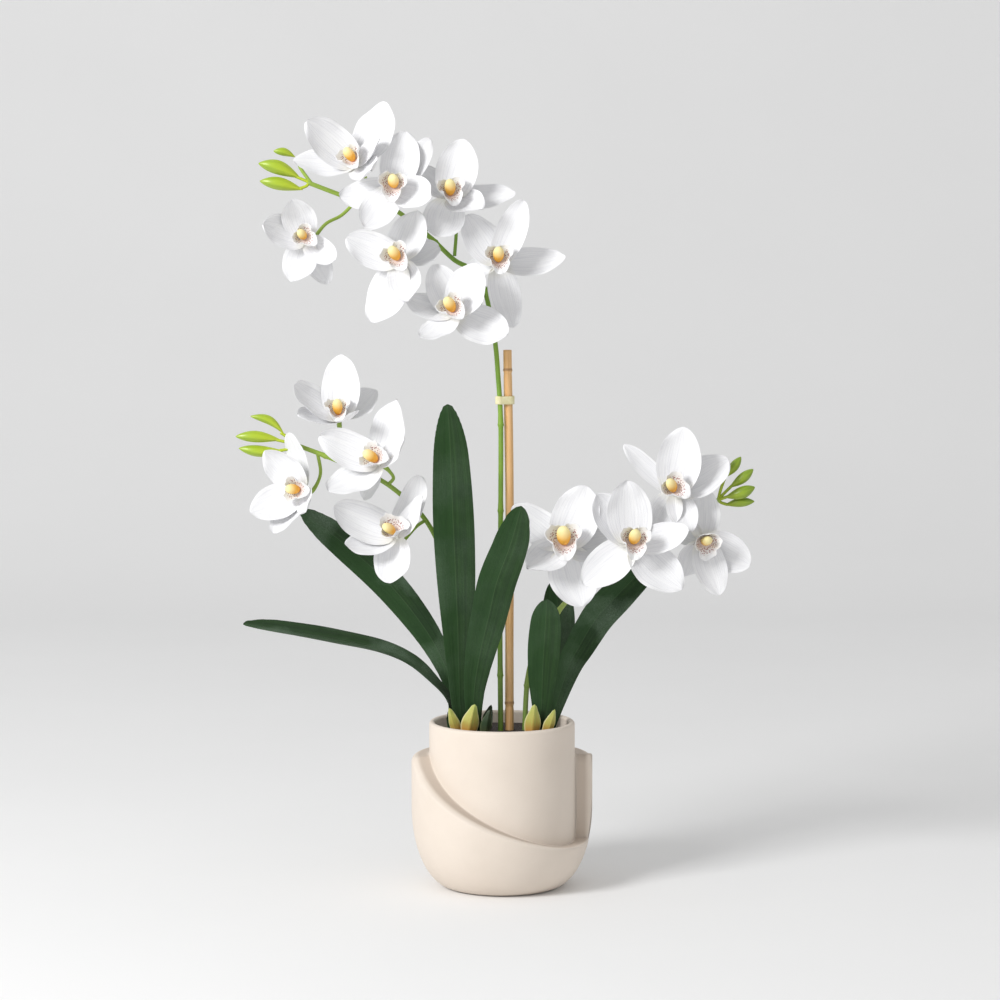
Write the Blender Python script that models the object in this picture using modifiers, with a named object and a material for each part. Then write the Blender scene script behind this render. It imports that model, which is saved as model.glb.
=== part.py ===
"""Artificial orchid with three sprays of white flowers, in a ceramic pot with a wrapped ledge.

Frame: metres, +Z up, origin at the centre of the pot's flat base, -Y is the front and +X its right.
Tables of places and sizes are in millimetres and are turned into metres by mm() or MM.
"""

from math import cos, pi, radians, sin, sqrt

import bmesh
import bpy
from mathutils import Vector

MM = 0.001
GAP = 0.3 * MM  # between pieces that touch

# Pot
POT_RADIUS = 54.2 * MM  # cylinder above the ledge
WRAP_RADIUS = 67.5 * MM
POT_HEIGHT = 124 * MM
POT_WALL = 4.5 * MM
BASE_RADIUS = 38 * MM
BELLY_HEIGHT = 60 * MM  # where the rounded foot reaches the wrap's full radius
LEDGE_HIGH = 98.7 * MM
LEDGE_LOW = 35.5 * MM
LEDGE_CHAMFER = 1.5 * MM
SWEEP_START, SWEEP_END, WRAP_END = -80, 62, 90  # degrees from the front, towards +X
SWEEP_POWER = 1.75
POT_FLOOR = 9 * MM
POT_COLUMNS = 40

# Soil
SOIL_TOP = 116.2 * MM
SOIL_RADIUS = POT_RADIUS - POT_WALL - GAP
FLOOR_ROUND = 6 * MM

# Stems, stake and tie
STEM_RADIUS = 1.9 * MM
PEDICEL_RADIUS = 1.4 * MM
STAKE_RADIUS = 3.2 * MM
STAKE_NODE = 1.12  # radius at a bamboo node, against the cane's own
TIE_Z, TIE_HEIGHT, TIE_THICKNESS = 363 * MM, 6 * MM, 0.8 * MM

# Leaves and flowers
LEAF_THICKNESS = 1.3 * MM
SHEATH_THICKNESS = 1.0 * MM
TEPAL_THICKNESS = 0.8 * MM
HEART_RADIUS = 3.0 * MM  # the small ball that the tepals join at
LIP_GAP = 1.2 * MM  # from that ball to the lip
# Radius and height in millimetres, from the column's top down into the bell, over its rim and back
LIP_PROFILE = ((0, 12.6), (2.8, 11.6), (4, 8.4), (4.2, 5.6), (7, 11), (7.7, 15), (8.5, 15), (7.4, 9),
               (2, 0), (0, 0))

STAKE_PATH = ((5.5, 2.2, 81), (5.5, 2.2, 136), (5.5, 2.2, 138), (5.5, 2.2, 140), (5.6, 2.2, 289),
              (4.2, 2, 384), (4.2, 2, 386), (4.2, 2, 388), (4, 2, 400))
STAKE_NODES = (2, 6)

# name: the stem's route, then for each flower the route of its pedicel before it reaches the flower
STEMS = {
    "flower_stem_top": (
        ((-1, -2, 80), (-1, -2, 117), (-1.5, -2, 197), (-1, -2, 284), (-1, -2, 347), (-3, -1, 382),
         (-5, -1, 405), (-9, 0, 428), (-14, 3, 448), (-22, 6, 459), (-35, 8, 466), (-49, 9, 479),
         (-63, 9, 491), (-83, 9, 505), (-105, 8, 509), (-122, 7, 515), (-143, 5, 523)),
        {1: ((-100, 8, 508), (-99, 6, 519)), 2: ((-80, 9, 504), (-77, 0, 509)),
         3: ((-35, 8, 469), (-34, 7, 490)), 4: ((-108, 8, 509), (-118, 3, 499), (-130, -4, 492)),
         5: ((-56, 9, 488), (-63, -2, 471)), 6: ((-13, 2, 444), (-20, -8, 425)),
         7: ((-12, 2, 443), (-6, 4, 452))},
        ((-140, 5, 522), (-148, 7, 533), (-150, 8, 539)),
    ),
    "flower_stem_left": (
        ((-19, 2, 80), (-19, 2, 116), (-24, 2, 150), (-30, 2, 184), (-41, 0, 237), (-49, -1, 261),
         (-61, -2, 280), (-78, -4, 296), (-95, -5, 307), (-127, -8, 321), (-150, -10, 330)),
        {8: ((-112, -6, 316), (-117, -4, 327)), 9: ((-84, -4, 301), (-80, -9, 306)),
         10: ((-136, -9, 325), (-134, -6, 309)), 11: ((-57, -2, 274), (-64, -3, 269))},
        (),
    ),
    "flower_stem_right": (
        ((17, 2, 80), (17, 2, 116), (19, 4, 154), (25, 5, 176), (37, 6, 198), (49, 6, 214),
         (73, 6, 240), (106, 4, 268), (132, 2, 283), (161, 0, 289)),
        {12: ((58, 6, 226), (52, 0, 240)), 13: ((88, 5, 254), (92, -8, 254)),
         14: ((120, 3, 278), (127, 3, 283)), 15: ((138, 1, 285), (142, 4, 273))},
        (),
    ),
}

# Each flower: where its tepals join, its throat from there, its lip's size, and its tepals' tips
# from there, each with a width.
FLOWERS = (
    ((-106, -14, 536), (-9, -14, 12), 1.0,
     ((23, 4, 44, 34), (-35, -14, 31, 27), (-46, -4, 3, 24), (13, -32, -6, 22), (17, -18, 18, 17))),
    ((-78, -26, 518), (-1, -14, 5), 1.1,
     ((8, 8, 42, 26), (26, 8, 36, 18), (27, -20, -5, 24), (-22, -14, -27, 24), (-40, 4, -6, 22))),
    ((-38, -12, 511), (1, -14, 11), 1.1,
     ((11, -3, 43, 28), (-21, 14, 22, 20), (48, 8, 5, 20), (23, -22, -7, 24), (-9, -8, -28, 28))),
    ((-143, -16, 481), (-2, -14, 5), 0.9,
     ((-30, -18, 12, 23), (-9, -18, 29, 23), (-9, -14, -31, 23), (16, 2, -32, 18), (22, -20, -16, 18))),
    ((-74, -28, 465), (-5, -14, 8), 1.1,
     ((-39, 0, 18, 26), (12, 12, 37, 28), (28, 14, 12, 22), (-20, -8, -44, 29), (7, -18, -28, 23))),
    ((-34, -30, 427), (-5, -14, 11), 1.1,
     ((18, -4, 36, 31), (-16, 10, 36, 24), (-36, 8, 12, 20), (-25, -20, -17, 22), (38, -6, -14, 29))),
    ((-3, -14, 463), (1, -14, 9), 1.1,
     ((19, -5, 47, 21), (-23, 6, 36, 26), (-25, 12, -3, 20), (49, 12, 5, 22), (11, -2, -46, 22))),
    ((-120, -12, 350), (-1, -14, 18), 1.0,
     ((3, -6, 47, 27), (-33, -10, 24, 26), (-29, -18, 5, 20), (14, -30, 7, 14), (27, 16, 20, 22))),
    ((-89, -24, 318), (-11, -14, 11), 1.1,
     ((11, 6, 47, 30), (-44, -4, 21, 26), (-38, -12, -19, 32), (-14, 12, -27, 20), (18, -22, 20, 20))),
    ((-146, -18, 298), (-10, -14, 2), 1.0,
     ((-27, -8, 30, 25), (-11, 2, 42, 18), (-38, -10, -16, 26), (-21, -14, -31, 22), (3, -30, -14, 18))),
    ((-78, -16, 264), (-5, -13, 10), 1.1,
     ((-46, -4, 21, 28), (-37, -12, -6, 22), (19, -16, 30, 18), (19, 0, 44, 22), (-5, -12, -34, 26))),
    ((46, -20, 256), (-1, -14, 10), 1.4,
     ((17, -2, 45, 33), (-38, 9, 30, 26), (-27, -16, -14, 27), (13, -8, -43, 33), (35, 2, 8, 34))),
    ((95, -34, 259), (2, -14, 7), 1.2,
     ((-4, 4, 47, 31), (-26, 3, 36, 26), (41, -6, 12, 21), (36, -8, -32, 30), (-36, -6, -28, 27))),
    ((127, -14, 295), (-2, -14, 9), 1.1,
     ((7, -4, 49, 30), (-37, 5, 36, 14), (40, 6, 24, 28), (-16, -11, -27, 23), (11, -16, -26, 20))),
    ((147, -14, 261), (4, -14, -2), 1.1,
     ((2, 7, 38, 24), (36, 2, -19, 26), (13, -8, -40, 23), (-12, 10, -28, 22), (-24, 12, 12, 18))),
)

# Leaves: route from the soil to the tip, greatest width, and the way the blade faces
LEAVES = {
    "leaf_low_left": (((-36, -3, 116.8), (-39, -6, 138), (-52, -10, 155), (-68, -13, 169), (-90, -17, 179),
                       (-124, -21, 187), (-158, -25, 194), (-190, -28, 200)), 26, (0, -0.32, 1)),
    "leaf_left": (((-29, 13, 116.8), (-34, 13, 137), (-42, 14, 163), (-58, 14, 192), (-85, 12, 226),
                   (-118, 8, 256), (-150, 3, 282)), 23, (-0.5, -1, 0.5)),
    "leaf_tall": (((-28, -8, 116.8), (-31, -12, 137), (-32, -15, 166), (-33, -18, 204), (-36, -20, 276),
                   (-38, -20, 328), (-40, -18, 361)), 30, (0.1, -1, 0.1)),
    "leaf_middle": (((-20, -15, 116.8), (-21, -17, 137), (-20, -19, 155), (-16, -23, 179), (-10, -28, 205),
                     (-4, -32, 231), (6, -36, 259), (14, -39, 288)), 27, (0.1, -1, 0.3)),
    "leaf_short": (((27, -14, 116.8), (29, -17, 135), (30, -20, 166), (32, -23, 200), (33, -24, 218)),
                   24, (0, -1, 0.1)),
    "leaf_right_back": (((30, 14, 116.8), (34, 22, 145), (41, 31, 180), (42, 38, 206), (39, 42, 224)),
                        25, (0.1, -1, 0.2)),
    "leaf_right": (((35, 0, 116.8), (39, 1, 132), (49, 5, 163), (57, 8, 178), (70, 11, 199), (85, 15, 215),
                    (101, 18, 231), (122, 22, 251)), 24, (0.5, -1, 0.6)),
}
SHEATHS = {
    "sheath_1": (((-33, -17, 116.8), (-36, -20, 126), (-39, -23, 137)), 9, (-0.3, -1, 0.2)),
    "sheath_2": (((-25, -21.5, 116.8), (-23, -24, 127), (-20, -25, 140)), 14, (0.1, -1, 0.1)),
    "sheath_3": (((-12, -22, 116.8), (-11, -24, 126), (-9, -25, 136)), 9, (0.4, -1, 0.1)),
    "sheath_4": (((-11, 10, 116.8), (-10, 12, 125), (-8, 13, 134)), 9, (0.3, 1, 0.1)),
    "sheath_5": (((22, -22, 116.8), (23, -24, 127), (24, -25, 140)), 13, (0.1, -1, 0.1)),
    "sheath_6": (((33, -20, 116.8), (36, -22, 125), (39, -23, 136)), 10, (0.5, -1, 0.1)),
}

# Buds: base, tip, width
BUDS = {
    "bud_top_1": ((-152, 8, 541.5), (-168, 4, 546), 6),
    "bud_top_2": ((-148, 5, 526), (-179, 2, 537), 10.5),
    "bud_top_3": ((-146, 3, 517.5), (-178, 1, 524), 9.5),
    "bud_left_1": ((-160, -10, 338), (-185, -13, 352), 5),
    "bud_left_2": ((-162, -11, 334), (-196, -13, 337), 8.5),
    "bud_left_3": ((-160, -9, 326), (-194, -9, 328), 8.5),
    "bud_right_1": ((164, 1, 305), (177, 2, 321), 7),
    "bud_right_2": ((168, 0, 298), (186, 0, 312), 7.5),
    "bud_right_3": ((164.5, -3, 291), (187, -4, 299), 9),
    "bud_right_4": ((164.5, 2, 285), (187, 0, 288), 7),
}

CREAM = (0.80, 0.70, 0.60)
SOIL_BROWN = (0.05, 0.035, 0.025)
BAMBOO = (0.72, 0.42, 0.16)
TAPE = (0.85, 0.78, 0.42)
STEM_GREEN = (0.16, 0.30, 0.05)
LEAF_GREEN = (0.02, 0.08, 0.04)
SHEATH_GREEN = (0.45, 0.42, 0.09)
BUD_GREEN = (0.45, 0.58, 0.08)
PETAL_WHITE = (0.90, 0.90, 0.91)
LIP_CREAM = (0.90, 0.80, 0.55)

model = bpy.data.collections.new("potted_orchid")
cutters = bpy.data.collections.new("potted_orchid_cutters")


def mm(point):
    return Vector(point) * MM


def material(name, colour, roughness):
    """One Principled material for each kind of surface."""
    made = bpy.data.materials.get(name)
    if made is None:
        made = bpy.data.materials.new(name)
        made.use_nodes = True
        shader = made.node_tree.nodes["Principled BSDF"]
        shader.inputs["Base Color"].default_value = (*colour, 1)
        shader.inputs["Roughness"].default_value = roughness
    return made


def add(name, data, look, smooth=True):
    """A new object in the model's collection, with its material."""
    data.materials.clear()
    data.materials.append(look)
    made = bpy.data.objects.new(name, data)
    model.objects.link(made)
    if smooth and isinstance(data, bpy.types.Mesh):
        data.shade_smooth()
        data.set_sharp_from_angle(angle=radians(40))
    return made


def mesh_from(bm, name):
    data = bpy.data.meshes.new(name)
    bm.to_mesh(data)
    bm.free()
    return data


def smooth_route(points, step):
    """Points about a step apart on a Catmull-Rom curve through the route's own points."""
    ends = [2 * points[0] - points[1], *points, 2 * points[-1] - points[-2]]
    route = [points[0]]
    for a, b, c, d in zip(ends, ends[1:], ends[2:], ends[3:]):
        count = max(1, round((c - b).length / step))
        for i in range(1, count + 1):
            t = i / count
            route.append(0.5 * (2 * b + (c - a) * t + (2 * a - 5 * b + 4 * c - d) * t * t
                                + (3 * b - a - 3 * c + d) * t ** 3))
    return route


def along(route, t):
    """The place a share t of the way along a route of evenly counted points."""
    at = t * (len(route) - 1)
    i = min(int(at), len(route) - 2)
    return route[i].lerp(route[i + 1], at - i)


def tube_mesh(name, points, radius, swell=None):
    """A closed round tube on a poly spline. swell gives single points a larger radius."""
    curve = bpy.data.curves.new(name, "CURVE")
    curve.dimensions = "3D"
    curve.bevel_depth = radius
    curve.bevel_resolution = 2
    curve.use_fill_caps = True
    spline = curve.splines.new("POLY")
    spline.points.add(len(points) - 1)
    for i, (point, place) in enumerate(zip(spline.points, points)):
        point.co = (*place, 1)
        point.radius = (swell or {}).get(i, 1)
    holder = bpy.data.objects.new(name, curve)
    cutters.objects.link(holder)
    graph = bpy.context.evaluated_depsgraph_get()
    data = bpy.data.meshes.new_from_object(holder.evaluated_get(graph))
    bpy.data.objects.remove(holder)
    bm = bmesh.new()
    bm.from_mesh(data)
    bmesh.ops.remove_doubles(bm, verts=bm.verts, dist=0.01 * MM)
    bm.to_mesh(data)
    bm.free()
    return data


def combine(target, tools, operation):
    """Applies one exact Boolean after another to the target, and removes the tools."""
    for tool in tools:
        step = target.modifiers.new("combine", "BOOLEAN")
        step.operation = operation
        step.solver = "EXACT"
        step.object = tool
        graph = bpy.context.evaluated_depsgraph_get()
        data = bpy.data.meshes.new_from_object(target.evaluated_get(graph))
        target.modifiers.clear()
        target.data = data
        bpy.data.objects.remove(tool)
    return target


def tool_object(name, data):
    """An object that is only united with, or cut from, a piece of the model."""
    made = bpy.data.objects.new(name, data)
    made.hide_render = True
    made.display_type = "WIRE"
    cutters.objects.link(made)
    return made


def sheet(name, across, along_count, place):
    """An open grid: place gives each point from s, -1 to 1 across, and t, 0 to 1 along."""
    bm = bmesh.new()
    bmesh.ops.create_grid(bm, x_segments=across, y_segments=along_count, size=1)
    for vert in bm.verts:
        vert.co = place(vert.co.x, (vert.co.y + 1) / 2)
    return mesh_from(bm, name)


def thicken(target, thickness):
    """Solidify, half to each side of the sheet."""
    shell = target.modifiers.new("thickness", "SOLIDIFY")
    shell.thickness = thickness
    shell.offset = 0
    return target


def turned(name, profile, steps, look, smooth=True):
    """A profile turned round Z. It runs from the axis at the top, down the outside, to the axis."""
    data = bpy.data.meshes.new(name)
    edges = [(i, i + 1) for i in range(len(profile) - 1)]
    data.from_pydata([(r, 0, z) for r, z in profile], edges, [])
    made = add(name, data, look, smooth)
    turn = made.modifiers.new("turn", "SCREW")
    turn.steps = turn.render_steps = steps
    turn.use_merge_vertices = True
    turn.merge_threshold = 0.0001
    turn.use_smooth_shade = smooth
    return made


# Pot

def ledge_height(angle):
    """Height of the wrap's top edge: it sweeps down round the front and ends at a step."""
    if SWEEP_START < angle <= WRAP_END:
        share = max(0, (SWEEP_END - angle) / (SWEEP_END - SWEEP_START))
        return LEDGE_LOW + (LEDGE_HIGH - LEDGE_LOW) * share ** SWEEP_POWER
    return LEDGE_HIGH


def wrap_radius(z):
    """Outer radius of the wrap: a quarter ellipse from the base to the belly, then straight."""
    rise = min(z / BELLY_HEIGHT, 1)
    return BASE_RADIUS + (WRAP_RADIUS - BASE_RADIUS) * sqrt(1 - (1 - rise) ** 2)


def pot_column(ledge):
    """Radius and height of each point, up the outside, over the ledge and rim, and down inside."""
    corner = ledge - LEDGE_CHAMFER
    levels = [0, 1.5 * MM, 6 * MM, 14 * MM, 24 * MM, LEDGE_LOW - LEDGE_CHAMFER, 56 * MM, 78 * MM, corner]
    points = [(wrap_radius(min(z, corner)), min(z, corner)) for z in levels]
    points.append((wrap_radius(ledge) - LEDGE_CHAMFER, ledge))
    points += [(POT_RADIUS, ledge), (POT_RADIUS, LEDGE_HIGH)]
    middle = POT_RADIUS - POT_WALL / 2
    for turn in range(5):
        points.append((middle + POT_WALL / 2 * cos(turn * pi / 4),
                       POT_HEIGHT - POT_WALL / 2 + POT_WALL / 2 * sin(turn * pi / 4)))
    inner = POT_RADIUS - POT_WALL
    points += [(inner, POT_FLOOR + FLOOR_ROUND), (inner - FLOOR_ROUND, POT_FLOOR)]
    return points


def make_pot():
    """A loft of upright columns round the axis, with a second, full one where the wrap ends."""
    angles = [360 * i / POT_COLUMNS - 180 for i in range(POT_COLUMNS)]
    columns = [(angle, ledge_height(angle)) for angle in angles]
    columns.insert(angles.index(WRAP_END) + 1, (WRAP_END, LEDGE_HIGH))
    bm = bmesh.new()
    rings = []
    for angle, ledge in columns:
        turn = radians(angle)
        rings.append([bm.verts.new((r * sin(turn), -r * cos(turn), z)) for r, z in pot_column(ledge)])
    for low, high in zip(rings, rings[1:] + rings[:1]):
        for a, b, c, d in zip(low, high, high[1:], low[1:]):
            bm.faces.new((a, b, c, d))
    bm.faces.new([ring[0] for ring in rings])
    bm.faces.new([ring[-1] for ring in rings])
    bmesh.ops.remove_doubles(bm, verts=bm.verts, dist=0.02 * MM)
    bmesh.ops.recalc_face_normals(bm, faces=bm.faces)
    add("pot", mesh_from(bm, "pot"), material("ceramic", CREAM, 0.6))


def make_soil():
    """A turned plug that fills the pot, with a hole for the stake and for each stem."""
    profile = [(0, SOIL_TOP), (28 * MM, SOIL_TOP - 0.4 * MM), (45 * MM, SOIL_TOP - 1.2 * MM),
               (SOIL_RADIUS, SOIL_TOP - 1.6 * MM), (SOIL_RADIUS, POT_FLOOR + FLOOR_ROUND),
               (SOIL_RADIUS - FLOOR_ROUND, POT_FLOOR + GAP), (0, POT_FLOOR + GAP)]
    soil = turned("soil", profile, 40, material("soil", SOIL_BROWN, 0.9), smooth=False)
    holes = [("stake_hole", STAKE_PATH[:2], STAKE_RADIUS)]
    holes += [(name + "_hole", route[:2], STEM_RADIUS) for name, (route, _, _) in STEMS.items()]
    tools = []
    for name, (foot, _), radius in holes:
        top = (foot[0], foot[1], 130)
        low = (foot[0], foot[1], foot[2] - 0.3)
        tools.append(tool_object(name, tube_mesh(name, [mm(low), mm(top)], radius + 1.3 * GAP)))
    combine(soil, tools, "DIFFERENCE")


# Stake and tie

def make_stake():
    swell = {i: STAKE_NODE for i in STAKE_NODES}
    data = tube_mesh("bamboo_stake", [mm(p) for p in STAKE_PATH], STAKE_RADIUS, swell)
    add("bamboo_stake", data, material("bamboo", BAMBOO, 0.5))


def wrapped_hull(name, rounds, height):
    """The convex outline of upright cylinders, given as x, y and radius."""
    bm = bmesh.new()
    for x, y, radius in rounds:
        for z in (TIE_Z - height / 2, TIE_Z + height / 2):
            made = bmesh.ops.create_circle(bm, segments=16, radius=radius)
            bmesh.ops.translate(bm, verts=made["verts"], vec=(x, y, z))
    hull = bmesh.ops.convex_hull(bm, input=bm.verts)
    spare = {e for e in hull["geom_interior"] + hull["geom_unused"] if isinstance(e, bmesh.types.BMVert)}
    bmesh.ops.delete(bm, geom=list(spare), context="VERTS")
    bmesh.ops.recalc_face_normals(bm, faces=bm.faces)
    return mesh_from(bm, name)


def make_tie():
    """A flat band of tape round the stake and the top stem."""
    held = ((-1.7 * MM, -1.6 * MM, STEM_RADIUS), (4.7 * MM, 2.1 * MM, STAKE_RADIUS))
    inner = [(x, y, r + 2 * GAP) for x, y, r in held]
    outer = [(x, y, r + TIE_THICKNESS) for x, y, r in inner]
    band = add("stake_tie", wrapped_hull("stake_tie", outer, TIE_HEIGHT), material("tape", TAPE, 0.6), False)
    combine(band, [tool_object("tie_inside", wrapped_hull("tie_inside", inner, 2 * TIE_HEIGHT))], "DIFFERENCE")


# Leaves

def blade_share(t):
    """Width of a leaf along its length: narrow foot, widest past the middle, blunt tip."""
    body = 0.34 + 0.66 * sin(pi * (t / 1.15) ** 1.1) ** 1.2
    return body * (1 - 0.82 * max(0, (t - 0.84) / 0.16) ** 2)


def blade_mesh(name, points, width, facing, cells, crease):
    """A leaf blade along a smooth route, folded along its midrib towards the side it faces."""
    route = smooth_route([mm(p) for p in points], 12 * MM)

    def place(s, t):
        middle = along(route, t)
        ahead = (along(route, min(t + 0.02, 1)) - along(route, max(t - 0.02, 0))).normalized()
        side = ahead.cross(Vector(facing)).normalized()
        up = side.cross(ahead)
        half = width * MM / 2 * blade_share(t)
        foot = 1 - min(t / 0.06, 1)
        rise = crease * abs(s) * half * (1 - foot)
        return middle + side * s * half + up * rise

    return sheet(name, *cells, place)


def make_leaves():
    look = material("leaf", LEAF_GREEN, 0.4)
    for name, (points, width, facing) in LEAVES.items():
        data = blade_mesh(name, points, width, facing, (2, 9), 0.22)
        thicken(add(name, data, look), LEAF_THICKNESS)
    look = material("sheath", SHEATH_GREEN, 0.45)
    for name, (points, width, facing) in SHEATHS.items():
        data = blade_mesh(name, points, width, facing, (2, 4), -0.3)
        thicken(add(name, data, look), SHEATH_THICKNESS)


# Flowers

def facing_of(flower):
    return Vector(flower[1]).normalized()


def tepal_share(t):
    """Width of a tepal along its length: a narrow claw, widest at two thirds, a blunt point."""
    return 0.22 * (1 - t) ** 2 + (t / 0.62) ** 0.75 * ((1.04 - t) / 0.42) ** 0.5


def tepal_mesh(name, centre, tip, width, facing):
    """One tepal, bowed back in its middle and cupped towards the flower's front."""
    ahead = tip.normalized()
    up = (facing - ahead * facing.dot(ahead)).normalized()
    side = ahead.cross(up)
    length = tip.length

    def place(s, t):
        half = width / 2 * tepal_share(t)
        bow = -0.09 * length * sin(pi * t)
        start = centre + ahead * HEART_RADIUS * 0.4 * (1 - t)
        return start + tip * t + side * s * half + up * (bow + 0.22 * half * s * s)

    return sheet(name, 2, 4, place)


def make_petals(number, flower):
    """Five tepals, made one with the small ball that they join at."""
    centre, facing = mm(flower[0]), facing_of(flower)
    name = f"flower_{number:02d}_petals"
    bm = bmesh.new()
    bmesh.ops.create_icosphere(bm, subdivisions=1, radius=HEART_RADIUS)
    bmesh.ops.translate(bm, verts=bm.verts, vec=centre)
    petals = add(name, mesh_from(bm, name), material("petal", PETAL_WHITE, 0.7))
    graph = bpy.context.evaluated_depsgraph_get
    tools = []
    for i, (x, y, z, width) in enumerate(flower[3]):
        data = tepal_mesh(f"tepal_{i}", centre, mm((x, y, z)), width * MM, facing)
        tool = thicken(tool_object(f"tepal_{i}", data), TEPAL_THICKNESS)
        bpy.context.view_layer.update()
        solid = bpy.data.meshes.new_from_object(tool.evaluated_get(graph()))
        tool.modifiers.clear()
        tool.data = solid
        tools.append(tool)
    combine(petals, tools, "UNION")


def make_lip(number, flower):
    """A small bell-shaped lip with its column standing in it, in front of the tepals."""
    centre, facing = mm(flower[0]), facing_of(flower)
    scale = flower[2] * MM
    profile = [(r * scale, z * scale) for r, z in LIP_PROFILE]
    lip = turned(f"flower_{number:02d}_lip", profile, 8, material("lip", LIP_CREAM, 0.6))
    lip.rotation_euler = facing.to_track_quat("Z", "Y").to_euler()
    lip.location = centre + facing * (HEART_RADIUS + LIP_GAP)


def make_flowers():
    for number, flower in enumerate(FLOWERS, 1):
        make_petals(number, flower)
        make_lip(number, flower)


# Stems and buds

def make_stems():
    """Each stem with its pedicels, which end just behind their flowers, and its bud stalks."""
    look = material("stem", STEM_GREEN, 0.45)
    for name, (points, pedicels, stalk) in STEMS.items():
        route = smooth_route([mm(p) for p in points], 14 * MM)
        stem = add(name, tube_mesh(name, route, STEM_RADIUS), look)
        tools = []
        for number, approach in pedicels.items():
            flower = FLOWERS[number - 1]
            back = mm(flower[0]) - facing_of(flower) * (HEART_RADIUS + GAP)
            behind = mm(flower[0]) - facing_of(flower) * 11 * MM
            line = smooth_route([*(mm(p) for p in approach), behind, back], 9 * MM)
            tools.append(tool_object("pedicel", tube_mesh("pedicel", line, PEDICEL_RADIUS)))
        if stalk:
            tools.append(tool_object("stalk", tube_mesh("stalk", [mm(p) for p in stalk], PEDICEL_RADIUS)))
        combine(stem, tools, "UNION")


def make_buds():
    """Pointed eggs, each a ball drawn out between its base and its tip."""
    look = material("bud", BUD_GREEN, 0.35)
    for name, (base, tip, width) in BUDS.items():
        line = mm(tip) - mm(base)
        bm = bmesh.new()
        bmesh.ops.create_uvsphere(bm, u_segments=7, v_segments=6, radius=1)
        for vert in bm.verts:
            t = (vert.co.z + 1) / 2
            taper = (0.5 + 0.5 * t) * width / 2 * MM
            vert.co = (vert.co.x * taper, vert.co.y * taper, t * line.length)
        turn = line.to_track_quat("Z", "Y").to_matrix().to_4x4()
        turn.translation = mm(base)
        data = mesh_from(bm, name)
        data.transform(turn)
        add(name, data, look)


for item in list(bpy.data.objects):
    bpy.data.objects.remove(item)
bpy.context.scene.collection.children.link(model)
bpy.context.scene.collection.children.link(cutters)
make_pot()
make_soil()
make_stake()
make_tie()
make_leaves()
make_flowers()
make_stems()
make_buds()
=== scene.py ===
import math

import bmesh
import bpy
import numpy as np
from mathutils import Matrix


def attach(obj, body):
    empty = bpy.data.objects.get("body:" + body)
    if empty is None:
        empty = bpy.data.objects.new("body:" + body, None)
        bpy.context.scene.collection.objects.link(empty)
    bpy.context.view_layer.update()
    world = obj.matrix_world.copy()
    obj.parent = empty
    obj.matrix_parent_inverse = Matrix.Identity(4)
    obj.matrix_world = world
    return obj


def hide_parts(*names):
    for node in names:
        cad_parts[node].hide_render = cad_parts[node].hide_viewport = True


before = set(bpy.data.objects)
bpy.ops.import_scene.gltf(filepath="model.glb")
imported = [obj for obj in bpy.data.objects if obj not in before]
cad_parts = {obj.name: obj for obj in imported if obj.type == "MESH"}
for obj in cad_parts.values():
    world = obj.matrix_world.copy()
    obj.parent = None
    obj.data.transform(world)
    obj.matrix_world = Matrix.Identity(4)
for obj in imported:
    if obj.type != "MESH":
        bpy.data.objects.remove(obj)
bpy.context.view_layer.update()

mm = 0.001

# ---- Pot --------------------------------------------------------------------------------------------------
# A slip-cast stoneware pot in matte cream glaze. A thick wrap goes round a plain cylinder: its top edge
# sweeps down across the front and stops at an upright end face on the right.

POT_RADIUS, WRAP_RADIUS, FOOT_RADIUS, WALL = 54.2 * mm, 67.5 * mm, 38 * mm, 4.5 * mm
RIM, LEDGE_TOP, LEDGE_FOOT, BELLY, POT_FLOOR = 124 * mm, 98.7 * mm, 35.5 * mm, 60 * mm, 9 * mm


def skin(name, grids):
    """One object from grids of points, each rows by columns by xyz with its own u and v. Neighbouring rows
    and columns are joined into four-sided faces, and points that meet at poles and seams become one."""
    points, faces, maps, first = [], [], [], 0
    for place, uv in grids:
        rows, columns = place.shape[:2]
        index = np.arange(rows * columns).reshape(rows, columns)
        quads = np.stack([index[:-1, :-1], index[:-1, 1:], index[1:, 1:], index[1:, :-1]], -1).reshape(-1, 4)
        points.append(place.reshape(-1, 3))
        maps.append(uv.reshape(-1, 2)[quads].reshape(-1, 2))
        faces.append(quads + first)
        first += rows * columns
    mesh = bpy.data.meshes.new(name)
    mesh.from_pydata(np.vstack(points), [], np.vstack(faces).tolist())
    mesh.uv_layers.new(name="UVMap").data.foreach_set("uv", np.vstack(maps).astype(np.float32).ravel())
    shell = bmesh.new()
    shell.from_mesh(mesh)
    bmesh.ops.remove_doubles(shell, verts=shell.verts, dist=0.004 * mm)
    bmesh.ops.recalc_face_normals(shell, faces=shell.faces)
    shell.to_mesh(mesh)
    shell.free()
    mesh.shade_smooth()
    piece = bpy.data.objects.new(name, mesh)
    bpy.context.scene.collection.objects.link(piece)
    return piece


def place_piece(piece, look, slot, *nodes):
    """Gives a piece its material and lets it stand for its CAD nodes, which are hidden. The slot is not used.
    """
    piece.data.materials.append(look)
    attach(piece, "root")
    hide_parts(*nodes)


def wire(tree, kind, inputs=(), **settings):
    """Adds a shader node. Each input, by name or number, takes a value or another node's output."""
    made = tree.nodes.new(kind)
    for key, value in settings.items():
        setattr(made, key, value)
    for key, value in dict(inputs).items():
        if isinstance(value, bpy.types.NodeSocket):
            tree.links.new(value, made.inputs[key])
        else:
            made.inputs[key].default_value = value
    return made


def blend(tree, share, first, second):
    """A colour part of the way from the first to the second."""
    return wire(tree, "ShaderNodeMix", {0: share, 6: first, 7: second}, data_type="RGBA").outputs[2]


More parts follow.
